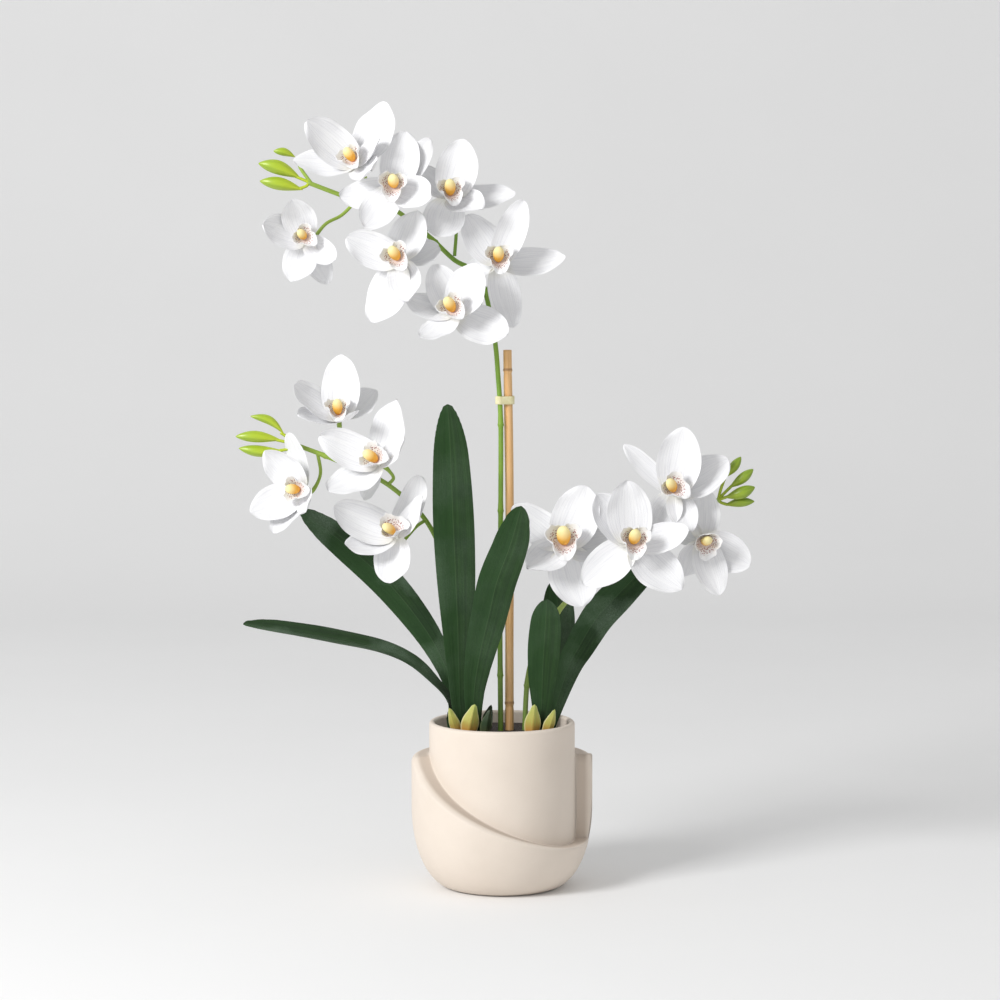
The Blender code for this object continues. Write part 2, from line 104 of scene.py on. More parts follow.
def spread(tree, value, low, high, start=0.0, end=1.0):
    """Stretches a value's span from low to high onto start to end, and holds it there outside."""
    inputs = {"Value": value, "From Min": low, "From Max": high, "To Min": start, "To Max": end}
    return wire(tree, "ShaderNodeMapRange", inputs).outputs["Result"]


def product(tree, first, second):
    """Two shader values multiplied."""
    return wire(tree, "ShaderNodeMath", {0: first, 1: second}, operation="MULTIPLY").outputs[0]


def distance_from(tree, value, middle):
    """How far a shader value is from the middle, on either side."""
    off = wire(tree, "ShaderNodeMath", {0: value, 1: middle}, operation="SUBTRACT").outputs[0]
    return wire(tree, "ShaderNodeMath", {0: off}, operation="ABSOLUTE").outputs[0]


def new_look(name):
    """A material with its shader, and its object and surface coordinates."""
    look = bpy.data.materials.new(name)
    look.use_nodes = True
    tree = look.node_tree
    shader = tree.nodes["Principled BSDF"]
    where = tree.nodes.new("ShaderNodeTexCoord").outputs
    return look, tree, shader, where["Object"], where["UV"]


def new_group(name, values, outputs):
    """A shader group with a vector input, number inputs with their usual values, and number outputs."""
    group = bpy.data.node_groups.new(name, "ShaderNodeTree")
    group.interface.new_socket("Vector", in_out="INPUT", socket_type="NodeSocketVector")
    for key, value in values.items():
        socket = group.interface.new_socket(key, in_out="INPUT", socket_type="NodeSocketFloat")
        socket.default_value = value
    for key in outputs:
        group.interface.new_socket(key, in_out="OUTPUT", socket_type="NodeSocketFloat")
    return group, group.nodes.new("NodeGroupInput").outputs, group.nodes.new("NodeGroupOutput").inputs


# Cloudy variation at two sizes, for colour and for the height of a fine grain
CLOUDS, given, out = new_group("clouds", {"Size": 60, "Grain Size": 900}, ["Clouds", "Grain"])
where = given["Vector"]
broad = wire(CLOUDS, "ShaderNodeTexNoise", {"Vector": where, "Scale": given["Size"], "Detail": 4})
fine = wire(CLOUDS, "ShaderNodeTexNoise", {"Vector": where, "Scale": given["Grain Size"], "Detail": 3})
CLOUDS.links.new(spread(CLOUDS, broad.outputs["Fac"], 0.3, 0.7), out["Clouds"])
CLOUDS.links.new(spread(CLOUDS, fine.outputs["Fac"], 0.3, 0.7), out["Grain"])


def use_group(tree, group, **inputs):
    """Adds a shared group. Each input, named with _ for a space, takes a value or another node's output."""
    made = tree.nodes.new("ShaderNodeGroup")
    made.node_tree = group
    for key, value in inputs.items():
        socket = made.inputs[key.replace("_", " ")]
        if isinstance(value, bpy.types.NodeSocket):
            tree.links.new(value, socket)
        else:
            socket.default_value = value
    return made.outputs


def raise_bumps(tree, shader, height, strength, depth):
    """Bumps of the given depth in metres."""
    bump = wire(tree, "ShaderNodeBump", {"Strength": strength, "Distance": depth, "Height": height})
    tree.links.new(bump.outputs["Normal"], shader.inputs["Normal"])


def pot_surface():
    """Columns round the axis from 270 degrees behind the end face to its other side, by stations up the
    outside, over the wrap's edge, in along the ledge, up the cylinder, over the rim and down the inside.
    The ledge's height falls as a power of the angle and jumps back up within half a degree at the end
    face. Both of the wrap's corners are quarter circles, in height and also in angle at the end face."""
    fine = np.linspace(84, 93, 110)
    turn = np.concatenate([np.linspace(-270, -80, 90), np.linspace(-80, 84, 150)[1:], fine[1:]])
    turn = turn[turn > -267]
    turn = np.append(turn, turn[0] + 360)[:, None]
    arc = np.linspace(0, np.pi / 2, 9)
    share = np.clip((62 - turn) / 142, 0, 1)
    edge = (1.6 + 3.4 * share ** 0.6) * mm
    inset = 3.0 * mm
    radius = [np.full((1, 1), WRAP_RADIUS)] * 34
    sink = [(1 - rise) * np.ones((1, 1)) for rise in np.linspace(0, 1, 34)]
    radius += [WRAP_RADIUS - edge * (1 - math.cos(a)) for a in arc[1:]]
    drop = [edge * (1 - math.sin(a)) for a in arc[1:]]
    radius += [WRAP_RADIUS - edge - (WRAP_RADIUS - edge - POT_RADIUS - inset) * f for f in (0.25, 0.5, 0.75)]
    drop += [0 * edge] * 3
    radius += [POT_RADIUS + inset * (1 - math.sin(a)) for a in arc]
    drop += [-inset * (1 - math.cos(a)) for a in arc]
    around = np.hstack([r * np.ones_like(turn) for r in radius])
    lower = np.hstack([edge * np.ones_like(turn)] * 34 + [d * np.ones_like(turn) for d in drop])
    out = np.clip(around - (WRAP_RADIUS - 2 * mm), 0, 2 * mm)
    inn = np.clip(POT_RADIUS + inset - around, 0, inset)
    turned_out = (2 * mm - np.sqrt(4 * mm * mm - out ** 2)) / WRAP_RADIUS
    turned_in = (inset - np.sqrt(inset ** 2 - inn ** 2)) / POT_RADIUS
    shift = turned_out - turned_in
    angle = turn - np.degrees(shift)
    angle = (angle + 267) % 360 - 267
    fall = np.clip((62 - angle) / 142, 0, 1) ** 1.75
    swept = LEDGE_FOOT + (LEDGE_TOP - LEDGE_FOOT) * fall
    jump = np.clip((angle - 90) / 0.5, 0, 1)
    ledge = np.where(angle < -80, LEDGE_TOP, swept * (1 - jump) + LEDGE_TOP * jump)
    height = ledge - lower
    rise = np.hstack([np.full_like(turn, 1 - s.item()) for s in sink])
    side = height[:, 33:34] * (1 - np.cos(rise * np.pi / 2)) ** 0.8
    height[:, :34] = side
    foot = np.sqrt(np.clip(1 - (1 - np.clip(height / BELLY, 0, 1)) ** 2, 0, 1))
    around = np.minimum(around, around - WRAP_RADIUS + FOOT_RADIUS + (WRAP_RADIUS - FOOT_RADIUS) * foot)
    around = np.maximum(around, np.where(np.arange(around.shape[1]) > 33, POT_RADIUS * 0.999, 0))
    up = np.linspace(0, 1, 16)[1:]
    last = height[:, -1:]
    lip = np.linspace(0, np.pi, 15)
    middle = POT_RADIUS - WALL / 2
    tail_r = [POT_RADIUS] * 15 + [middle + WALL / 2 * math.cos(a) for a in lip[1:]]
    tail_z = [last + (RIM - WALL / 2 - last) * f for f in up]
    tail_z += [np.full_like(last, RIM - WALL / 2 + WALL / 2 * math.sin(a)) for a in lip[1:]]
    inner = POT_RADIUS - WALL
    tail_r += [inner, inner, inner - 6 * mm, 0]
    tail_z += [np.full_like(last, z) for z in (90 * mm, POT_FLOOR + 6 * mm, POT_FLOOR, POT_FLOOR)]
    around = np.hstack([np.zeros_like(last), around, np.ones_like(last) * np.array(tail_r)])
    height = np.hstack([np.zeros_like(last), height] + tail_z)
    theta = np.radians(turn)
    grid = np.stack([around * np.sin(theta), -around * np.cos(theta), height], -1)
    uv = np.stack([np.broadcast_to(turn / 360, around.shape), height / RIM], -1)
    return grid, uv


glaze, tree, shader, spot, _ = new_look("cream_glaze")
cloud = use_group(tree, CLOUDS, Vector=spot, Size=28, Grain_Size=1400)
speck = wire(tree, "ShaderNodeTexVoronoi", {"Vector": spot, "Scale": 420}).outputs["Distance"]
cream = blend(tree, cloud["Clouds"], (0.715, 0.63, 0.545, 1), (0.76, 0.675, 0.59, 1))
# painted shade: the glaze is darker on the ledge, in the cove between the wrap and the cylinder where shade
# falls, which is told by its distance from the axis
place = wire(tree, "ShaderNodeSeparateXYZ", {0: spot}).outputs
flat = wire(tree, "ShaderNodeCombineXYZ", {"X": place["X"], "Y": place["Y"]}).outputs[0]
away = wire(tree, "ShaderNodeVectorMath", {0: flat}, operation="LENGTH").outputs["Value"]
cove_shade = spread(tree, away, POT_RADIUS, POT_RADIUS + 1.2 * mm)
cove_shade = product(tree, cove_shade, spread(tree, away, WRAP_RADIUS - 6 * mm, WRAP_RADIUS - 3 * mm, 1, 0))
cove_shade = product(tree, cove_shade, spread(tree, place["Z"], 33 * mm, 36 * mm, 0, 0.7))
cream = blend(tree, cove_shade, cream, (0.50, 0.42, 0.35, 1))
cream = blend(tree, spread(tree, speck, 0.0, 0.16, 0.10, 0), cream, (0.45, 0.33, 0.22, 1))
tree.links.new(cream, shader.inputs["Base Color"])
tree.links.new(spread(tree, cloud["Clouds"], 0, 1, 0.5, 0.62), shader.inputs["Roughness"])
shader.inputs["Specular IOR Level"].default_value = 0.35
raise_bumps(tree, shader, cloud["Grain"], 0.25, 0.15 * mm)

place_piece(skin("ceramic_pot", [pot_surface()]), glaze, "ceramic", "pot")

# ---- Soil -------------------------------------------------------------------------------------------------
# Dark bark chips and peat glued over a foam plug, a little below the pot's rim. The chips are lumps of a
# few millimetres that overlap at random.

SOIL_TOP, SOIL_RADIUS = 116.2 * mm, 49.4 * mm


def bark_bed():
    """A disc by radius and angle. Its height is the tallest of many small tilted domes at random places,
    over a slight fall to the edge, and the last rows go down the pot's wall and back to the axis."""
    rng = np.random.default_rng(5)
    r = np.linspace(0, 1, 70)[:, None] * SOIL_RADIUS
    a = np.linspace(0, 2 * np.pi, 221)[None, :]
    x, y = r * np.cos(a), r * np.sin(a)
    z = np.full(x.shape, -3.0) * mm
    chips = rng.uniform([-49, -49, 2, 1, -.3, 0], [49, 49, 5.5, 3.4, .3, 6.3], (420, 6))
    for cx, cy, size, tall, lean, way in chips:
        dx, dy = x / mm - cx, y / mm - cy
        along = dx * math.cos(way) + dy * math.sin(way)
        off = (along / size) ** 2 + ((dx ** 2 + dy ** 2 - along ** 2) / (0.6 * size) ** 2)
        dome = tall * np.sqrt(np.clip(1 - off, 0, 1)) + lean * along - 3 * (off > 1)
        z = np.maximum(z, dome * mm - 1.6 * mm)
    z = SOIL_TOP - 0.6 * mm - 2 * mm * (r / SOIL_RADIUS) ** 4 + np.clip(z, -3 * mm, 1.2 * mm)
    z[:, -1] = z[:, 0]
    z[0] = z[0].mean()
    low = np.full_like(z[:2], 95 * mm)
    ends = np.array([[1.0], [0.0]]) * SOIL_RADIUS
    x = np.vstack([x, ends * np.cos(a)])
    y = np.vstack([y, ends * np.sin(a)])
    grid = np.stack([x, y, np.vstack([z, low])], -1)
    return grid, np.stack([x, y], -1)


bark, tree, shader, spot, _ = new_look("bark_compost")
cloud = use_group(tree, CLOUDS, Vector=spot, Size=260, Grain_Size=1600)
brown = blend(tree, cloud["Clouds"], (0.008, 0.005, 0.004, 1), (0.05, 0.028, 0.016, 1))
tree.links.new(brown, shader.inputs["Base Color"])
tree.links.new(spread(tree, cloud["Grain"], 0, 1, 0.65, 0.95), shader.inputs["Roughness"])
raise_bumps(tree, shader, cloud["Grain"], 0.7, 0.5 * mm)

place_piece(skin("bark_chips", [bark_bed()]), bark, "soil", "soil")

# ---- Stake ------------------------------------------------------------------------------------------------
# A bamboo cane without splits, cut flat at the top and pushed into the foam. It has a low ring with a dark
# scar at each node and long brown streaks between them.

STAKE_PATH = ((5.5, 2.2, 81), (5.5, 2.2, 137), (5.5, 2.2, 200), (5.6, 2.2, 289), (4.2, 2, 385), (4, 2, 400))
STAKE_RADIUS = 3.2 * mm
STAKE_NODES = (137 * mm, 385 * mm)


def smooth_path(places, step=1.5):
    """A Catmull-Rom curve through the places, which are in millimetres: each span blends its four nearest
    places by cubic weights. It is then spaced evenly, step millimetres apart, and given in metres."""
    p = np.array(places, float)
    p = np.vstack([2 * p[0] - p[1], p, 2 * p[-1] - p[-2]])
    t = np.linspace(0, 1, 30, endpoint=False)[:, None]
    spans = [0.5 * (2 * b + (c - a) * t + (2 * a - 5 * b + 4 * c - d) * t ** 2
                    + (3 * b - a - 3 * c + d) * t ** 3)
             for a, b, c, d in zip(p, p[1:], p[2:], p[3:])]
    line = np.vstack([*spans, p[-2]])
    far = np.concatenate([[0], np.cumsum(np.linalg.norm(np.diff(line, axis=0), axis=1))])
    even = np.linspace(0, far[-1], max(4, round(far[-1] / step)))
    return np.stack([np.interp(even, far, line[:, i]) for i in range(3)], -1) * mm


def directions(line, facing):
    """Along a path, ahead is its slope, side is ahead crossed with facing, and up is square to both."""
    ahead = np.gradient(line, axis=0)
    ahead /= np.linalg.norm(ahead, axis=1, keepdims=True)
    side = np.cross(ahead, np.asarray(facing, float))
    side /= np.linalg.norm(side, axis=1, keepdims=True)
    return ahead, side, np.cross(side, ahead)


def rod(line, radius, sides=20, facing=(0, 1, 0)):
    """A round profile carried along a path, with a radius for each place. Both ends close on the axis."""
    radius = np.broadcast_to(np.asarray(radius, float), len(line))
    _, side, up = directions(line, facing)
    ends = [0] + list(range(len(line))) + [len(line) - 1]
    radius = np.concatenate([[0], radius, [0]])
    a = np.linspace(0, 2 * np.pi, sides + 1)
    ring = np.cos(a)[None, :, None] * side[ends][:, None] + np.sin(a)[None, :, None] * up[ends][:, None]
    grid = line[ends][:, None] + radius[:, None, None] * ring
    far = np.concatenate([[0], np.cumsum(np.linalg.norm(np.diff(line, axis=0), axis=1))])[ends]
    uv = np.stack(np.broadcast_arrays(a[None] / (2 * np.pi), far[:, None] / mm / 100), -1)
    return grid, uv


def cane():
    """The rod's radius swells as a narrow bell at each node, dips just under it, and turns in at the cut."""
    line = smooth_path(STAKE_PATH, 0.8)
    radius = np.full(len(line), STAKE_RADIUS) * (1 + 0.02 * np.sin(line[:, 2] * 60))
    for node in STAKE_NODES:
        off = (line[:, 2] - node) / mm
        radius += 0.36 * mm * np.exp(-(off / 0.9) ** 2) - 0.2 * mm * np.exp(-((off + 2.6) / 1.2) ** 2)
    line = np.vstack([line, line[-1:], line[-1:] - (0, 0, 2.5 * mm)])
    radius = np.concatenate([radius, [STAKE_RADIUS * 0.55, STAKE_RADIUS * 0.5]])
    radius[-3] = STAKE_RADIUS * 0.94
    line[-2] += (0, 0, 0.001 * mm)
    return line, radius


line, radius = cane()
flat = np.linspace(0, 2 * np.pi, 25)
wide = line[:, None, 0] + radius[:, None] * np.cos(flat)
deep = line[:, None, 1] + radius[:, None] * np.sin(flat)
cane_grid = np.stack([wide, deep, np.repeat(line[:, 2:], 25, axis=1)], -1)
foot, top = (np.broadcast_to(end, (1, 25, 3)) for end in (line[0], line[-1]))
cane_grid = np.concatenate([foot, cane_grid, top])
cane_uv = np.stack(np.broadcast_arrays(flat / (2 * np.pi), cane_grid[:, :, 2] / mm / 100), -1)

# Long lines that follow a piece: noise that is stretched along the surface's v
VEINS, given, out = new_group("veins", {"Lines": 20, "Stretch": 1, "Waviness": 0.2}, ["Veins", "Soft"])
scale = wire(VEINS, "ShaderNodeCombineXYZ", {"X": given["Lines"], "Y": given["Stretch"]}).outputs[0]
along = wire(VEINS, "ShaderNodeVectorMath", {0: given["Vector"], 1: scale}, operation="MULTIPLY").outputs[0]
sharp = wire(VEINS, "ShaderNodeTexNoise",
             {"Vector": along, "Scale": 1, "Detail": 2, "Distortion": given["Waviness"]}).outputs["Fac"]
soft = wire(VEINS, "ShaderNodeTexNoise", {"Vector": along, "Scale": 0.3, "Detail": 1}).outputs["Fac"]
VEINS.links.new(spread(VEINS, sharp, 0.35, 0.65), out["Veins"])
VEINS.links.new(spread(VEINS, soft, 0.3, 0.7), out["Soft"])

bamboo, tree, shader, spot, uv = new_look("bamboo_cane")
vein = use_group(tree, VEINS, Vector=uv, Lines=34, Stretch=2.2, Waviness=0.4)
tan = blend(tree, vein["Veins"], (0.66, 0.38, 0.15, 1), (0.82, 0.53, 0.26, 1))
tan = blend(tree, spread(tree, vein["Soft"], 0.5, 1, 0, 0.4), tan, (0.74, 0.34, 0.09, 1))
high = wire(tree, "ShaderNodeSeparateXYZ", {0: spot}).outputs["Z"]
for node in STAKE_NODES:
    off = distance_from(tree, high, node + 0.6 * mm)
    tan = blend(tree, spread(tree, off, 0.3 * mm, 1.6 * mm, 0.65, 0), tan, (0.20, 0.09, 0.035, 1))
tree.links.new(tan, shader.inputs["Base Color"])
tree.links.new(spread(tree, vein["Veins"], 0, 1, 0.38, 0.55), shader.inputs["Roughness"])
raise_bumps(tree, shader, vein["Veins"], 0.3, 0.2 * mm)

place_piece(skin("bamboo_cane", [(cane_grid, cane_uv)]), bamboo, "bamboo", "bamboo_stake")

# ---- Tie --------------------------------------------------------------------------------------------------
# One turn of pale yellow florist's tape, pressed round the cane and the tall stem where they touch.

TIE_Z = 363 * mm
# the stem and the cane at that height, each by its x, y and radius with a little room
HELD = ((-1.7, -1.6, 1.9 + 0.6), (4.7, 2.1, 3.2 + 0.6))
# the strip's section: how far out and how high, in millimetres
TIE_SECTION = ((0, -3), (0.55, -3), (0.7, -2.8), (0.7, -1), (0.72, 1), (0.7, 2.8), (0.55, 3), (0, 3), (0, -3))


def tape_band():
    """The outline of two circles held together: in each direction the point of the circle that reaches
    further. It is carried up a rounded strip's section, with small crinkles across the tape."""
    a = np.linspace(0, 2 * np.pi, 181)
    out = np.stack([np.cos(a), np.sin(a)], -1)
    reach = np.stack([out @ (x, y) + r for x, y, r in HELD], -1)
    pick = np.array(HELD)[reach.argmax(1)]
    section = np.array(TIE_SECTION)
    crinkle = 0.05 * np.sin(a * 37) + 0.04 * np.sin(a * 61 + 1)
    far = pick[None, :, 2:] + section[:, None, :1] * (1 + crinkle[None, :, None])
    flat = pick[None, :, :2] + far * out[None]
    high = section[:, 1:2] + 0.12 * np.sin(a * 2)[None]
    grid = np.concatenate([flat, high[:, :, None]], -1) * mm + (0, 0, TIE_Z)
    return grid, np.stack(np.broadcast_arrays(a[None] * 2, section[:, 1:2] / 6), -1)


tape, tree, shader, spot, uv = new_look("florists_tape")
cloud = use_group(tree, CLOUDS, Vector=spot, Size=300, Grain_Size=1500)
straw = blend(tree, cloud["Clouds"], (0.72, 0.66, 0.36, 1), (0.80, 0.76, 0.50, 1))
tree.links.new(straw, shader.inputs["Base Color"])
tree.links.new(spread(tree, cloud["Grain"], 0, 1, 0.6, 0.8), shader.inputs["Roughness"])
raise_bumps(tree, shader, cloud["Grain"], 0.4, 0.2 * mm)

place_piece(skin("tape_tie", [tape_band()]), tape, "tape", "stake_tie")

# ---- Leaves -----------------------------------------------------------------------------------------------
# Seven strap leaves moulded in soft dark green plastic over a wire. Each is folded along its midrib and has
# fine lines along it, with pale patches of dust and painted sheen, and one half of the fold painted lighter
# as if lit.

# name: route, greatest width, the way the blade faces, how late it is widest
LEAVES = {
    "leaf_low_left": (((-36, -3, 116), (-39, -6, 138), (-52, -10, 155), (-68, -13, 169), (-90, -17, 179),
                       (-124, -21, 187), (-158, -25, 194), (-190, -28, 200)), 26, (0, -0.32, 1), 0.55),
    "leaf_left": (((-29, 13, 116), (-34, 13, 137), (-42, 14, 163), (-58, 14, 192), (-85, 12, 226),
                   (-118, 8, 256), (-150, 3, 282)), 24, (-0.5, -1, 0.5), 0.6),
    "leaf_tall": (((-28, -8, 116), (-31, -12, 137), (-32, -15, 166), (-33, -18, 204), (-36, -20, 276),
                   (-38, -20, 328), (-40, -18, 361)), 30, (0.1, -1, 0.1), 0.6),
    "leaf_middle": (((-20, -15, 116), (-21, -17, 137), (-20, -19, 155), (-16, -23, 179), (-10, -28, 205),
                     (-4, -32, 231), (6, -36, 259), (14, -39, 288)), 27, (0.1, -1, 0.3), 0.8),
    "leaf_short": (((27, -14, 116), (29, -17, 135), (30, -20, 166), (32, -23, 200), (33, -24, 218)),
                   23, (0, -1, 0.1), 0.85),
    "leaf_right_back": (((30, 14, 116), (34, 22, 145), (41, 31, 180), (42, 38, 206), (39, 42, 224)),
                        25, (0.1, -1, 0.2), 0.7),
    "leaf_right": (((35, 0, 116), (39, 1, 132), (49, 5, 163), (57, 8, 178), (70, 11, 199), (85, 15, 215),
                    (101, 18, 231), (122, 22, 251)), 25, (0.5, -1, 0.6), 0.6),
}


def leaf_share(t, late):
    """Width along a leaf: a third at the foot, full past the middle, then a rounded, pointed tip."""
    body = 0.34 + 0.66 * np.sin(np.pi * np.minimum(t / 1.15, 1) ** 1.1) ** 1.2
    full = np.clip((t - 0.55) / 0.4, 0, 1) * (late - 0.5)
    return (body + full * 0.5) * np.sqrt(np.clip(1 - np.clip((t - 0.84) / 0.16, 0, 1) ** 2.2, 0.002, 1))


def close_ends(grid):
    """Adds a row at each end in which every point is the middle of the end's own row."""
    first, last = (row.mean(1, keepdims=True).repeat(grid.shape[1], 1) for row in (grid[:1], grid[-1:]))
    return np.concatenate([first, grid, last])


def leaf_blade(route, width, facing, share, fold, thick, wave, seed, rows=110):
    """A thin closed section carried along a path: across it goes out over the upper side and back under
    the lower one, folded to a V of rounded root, with slow waves that grow towards the margins."""
    rng = np.random.default_rng(seed)
    line = smooth_path(route)
    line = line[np.round(np.linspace(0, len(line) - 1, min(rows, len(line)))).astype(int)]
    _, side, up = directions(line, facing)
    t = np.linspace(0, 1, len(line))[:, None]
    q = np.linspace(0, 2 * np.pi, 49)[None]
    s = np.sign(np.cos(q)) * np.abs(np.cos(q)) ** 0.9
    half = width / 2 * mm * share(t)
    body = np.clip(t / 0.08, 0, 1)
    crease = fold * (np.sqrt(s ** 2 + 0.004) - 0.063) * half * body
    one, two = rng.uniform(0, 6, 2)
    waves = np.sin(9 * t + one + 1.5 * s) + 0.5 * np.sin(21 * t + two - 2 * s)
    ripple = wave * mm * s ** 2 * waves * body * (1 - t * 0.3)
    depth = thick / 2 * mm * np.sin(q) * np.minimum(1, half / (3 * mm)) * (1 + 0.5 * np.exp(-(s / 0.12) ** 2))
    high = crease + ripple + depth
    grid = line[:, None] + side[:, None] * (s * half)[:, :, None] + up[:, None] * high[:, :, None]
    grid = close_ends(grid)
    ends = np.concatenate([t[:1], t, t[-1:]])
    uv = np.stack(np.broadcast_arrays((s + 1) / 2, ends), -1)
    return grid, uv


green, tree, shader, spot, uv = new_look("leaf_plastic")
vein = use_group(tree, VEINS, Vector=uv, Lines=46, Stretch=1.4, Waviness=0.3)
cloud = use_group(tree, CLOUDS, Vector=spot, Size=45, Grain_Size=700)
leafy = blend(tree, vein["Soft"], (0.012, 0.032, 0.009, 1), (0.018, 0.048, 0.012, 1))
leafy = blend(tree, spread(tree, vein["Veins"], 0.55, 1, 0, 0.14), leafy, (0.07, 0.14, 0.05, 1))
leafy = blend(tree, spread(tree, cloud["Clouds"], 0.45, 1, 0, 0.45), leafy, (0.010, 0.026, 0.010, 1))
across = wire(tree, "ShaderNodeSeparateXYZ", {0: uv}).outputs["X"]
# painted light: the half of the fold at low u is lighter, as the side of the V that faces the light
leafy = blend(tree, spread(tree, across, 0.49, 0.51, 0.35, 0), leafy, (0.035, 0.095, 0.028, 1))
rib = distance_from(tree, across, 0.5)
leafy = blend(tree, spread(tree, rib, 0.004, 0.02, 0.3, 0), leafy, (0.07, 0.13, 0.05, 1))
# pale patches, partly dust and partly painted sheen, stronger away from the middle of the plant where more
# light falls on the leaves
dust_and_sheen_clouds = use_group(tree, CLOUDS, Vector=spot, Size=26, Grain_Size=1500)
away = wire(tree, "ShaderNodeSeparateXYZ", {0: spot}).outputs["X"]
away = wire(tree, "ShaderNodeMath", {0: away}, operation="ABSOLUTE").outputs[0]
patches = spread(tree, dust_and_sheen_clouds["Clouds"], 0.35, 0.85, 0.1, 1)
dust_and_sheen = product(tree, patches, spread(tree, away, 35 * mm, 65 * mm, 0.12, 0.6))
dust_and_sheen = product(tree, dust_and_sheen, spread(tree, dust_and_sheen_clouds["Grain"], 0.1, 0.8, 0.4, 1))
leafy = blend(tree, dust_and_sheen, leafy, (0.17, 0.24, 0.17, 1))
tree.links.new(leafy, shader.inputs["Base Color"])
tree.links.new(spread(tree, cloud["Clouds"], 0, 1, 0.34, 0.5), shader.inputs["Roughness"])
shader.inputs["Specular IOR Level"].default_value = 0.13
raise_bumps(tree, shader, vein["Veins"], 0.35, 0.25 * mm)

for number, (name, (route, width, facing, late)) in enumerate(LEAVES.items()):
    grid = leaf_blade(route, width, facing, lambda t: leaf_share(t, late), 0.32, 1.2, 0.4, number)
    place_piece(skin(name.replace("leaf", "strap_leaf"), [grid]), green, "leaf", name)

# ---- Sheaths ----------------------------------------------------------------------------------------------
# Short papery bud scales in yellow-green plastic, pushed in round each clump. They are brown at the foot and
# pale along the edge.

SHEATHS = {
    "sheath_1": (((-33, -17, 116), (-36, -20, 126), (-39, -23, 137)), 9, (-0.3, -1, 0.2)),
    "sheath_2": (((-25, -21.5, 116), (-23, -24, 127), (-20, -25, 140)), 14, (0.1, -1, 0.1)),
    "sheath_3": (((-12, -22, 116), (-11, -24, 126), (-9, -25, 136)), 9, (0.4, -1, 0.1)),
    "sheath_4": (((-11, 10, 116), (-10, 12, 125), (-8, 13, 134)), 9, (0.3, 1, 0.1)),
    "sheath_5": (((22, -22, 116), (23, -24, 127), (24, -25, 140)), 13, (0.1, -1, 0.1)),
    "sheath_6": (((33, -20, 116), (36, -22, 125), (39, -23, 136)), 10, (0.5, -1, 0.1)),
}
DARK_SHEATHS = ("sheath_3", "sheath_4")


def sheath_share(t):
    """Width along a sheath: two thirds at the foot, full at two fifths, then a long round taper."""
    return (0.72 + 0.28 * np.sin(np.pi * np.clip(t / 0.8, 0, 1))) * np.sqrt(np.clip(1 - t ** 2.4, 0.002, 1))


def sheath_look(name, low, middle, high, edge):
    """Three colours up the scale, lines along it and a pale margin."""
    look, tree, shader, spot, uv = new_look(name)
    split = wire(tree, "ShaderNodeSeparateXYZ", {0: uv}).outputs
    vein = use_group(tree, VEINS, Vector=uv, Lines=16, Stretch=0.8, Waviness=0.2)
    tint = blend(tree, spread(tree, split["Y"], 0.1, 0.45), low, middle)
    tint = blend(tree, spread(tree, split["Y"], 0.5, 1), tint, high)
    tint = blend(tree, spread(tree, vein["Veins"], 0.4, 1, 0, 0.35), tint, low)
    off = distance_from(tree, split["X"], 0.5)
    tint = blend(tree, spread(tree, off, 0.40, 0.49, 0, 0.8), tint, edge)
    tree.links.new(tint, shader.inputs["Base Color"])
    tree.links.new(spread(tree, vein["Soft"], 0, 1, 0.35, 0.55), shader.inputs["Roughness"])
    raise_bumps(tree, shader, vein["Veins"], 0.4, 0.2 * mm)
    return look


pale = sheath_look("sheath_plastic", (0.56, 0.24, 0.05, 1), (0.52, 0.50, 0.12, 1), (0.40, 0.50, 0.12, 1),
                   (0.70, 0.66, 0.36, 1))
dark = sheath_look("dark_sheath_plastic", (0.06, 0.07, 0.03, 1), (0.03, 0.06, 0.025, 1),
                   (0.03, 0.055, 0.025, 1), (0.09, 0.12, 0.05, 1))
for number, (name, (route, width, facing)) in enumerate(SHEATHS.items()):
    grid = leaf_blade(route, width, facing, sheath_share, -0.55, 0.9, 0.3, number + 20, 40)
    look = dark if name in DARK_SHEATHS else pale
    place_piece(skin(name.replace("sheath", "bud_scale"), [grid]), look, "sheath", name)

# ---- Flowers: tepals --------------------------------------------------------------------------------------
# Five white petals a flower, die-cut from fine cloth and heat-pressed to a cup with faint veins. They are
# glued to one small green-white knob at the end of the stalk.

HEART_RADIUS = 3.0
